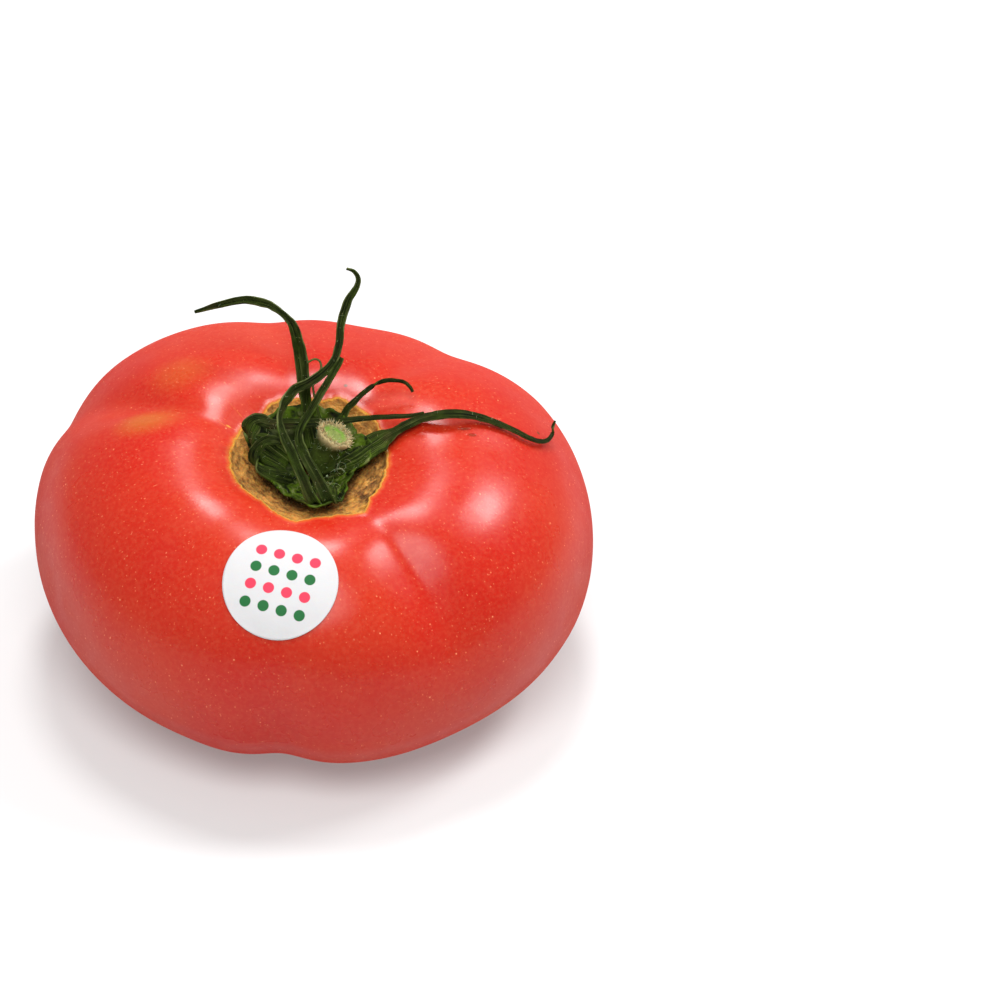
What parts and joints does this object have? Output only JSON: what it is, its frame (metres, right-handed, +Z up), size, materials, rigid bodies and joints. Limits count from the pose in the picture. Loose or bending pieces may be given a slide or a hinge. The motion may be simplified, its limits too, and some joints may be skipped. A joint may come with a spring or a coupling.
{
  "type": "beefsteak tomato",
  "caption": "Ripe red ribbed tomato, broad and low, with a dried green calyx, a short cut stem and a small round label, resting on its base.",
  "frame": {"origin": "on the surface it rests on, at the middle of the whole tomato's box seen from above", "axes": "+Z up; -Y is the side the label faces, toward which the stem end leans; +X is to the right seen from there"},
  "size_m": [0.107, 0.1022, 0.0808],
  "materials": {
    "skin": "smooth waxy skin with a soft gloss",
    "sepal": "matt, dry and lightly hairy",
    "stem": "matt, fibrous at the cut",
    "label": "smooth coated paper"
  },
  "bodies": {
    "root": {"fruit": "skin", "calyx": "sepal", "stem": "stem", "label": "label"}
  },
  "joints": []
}
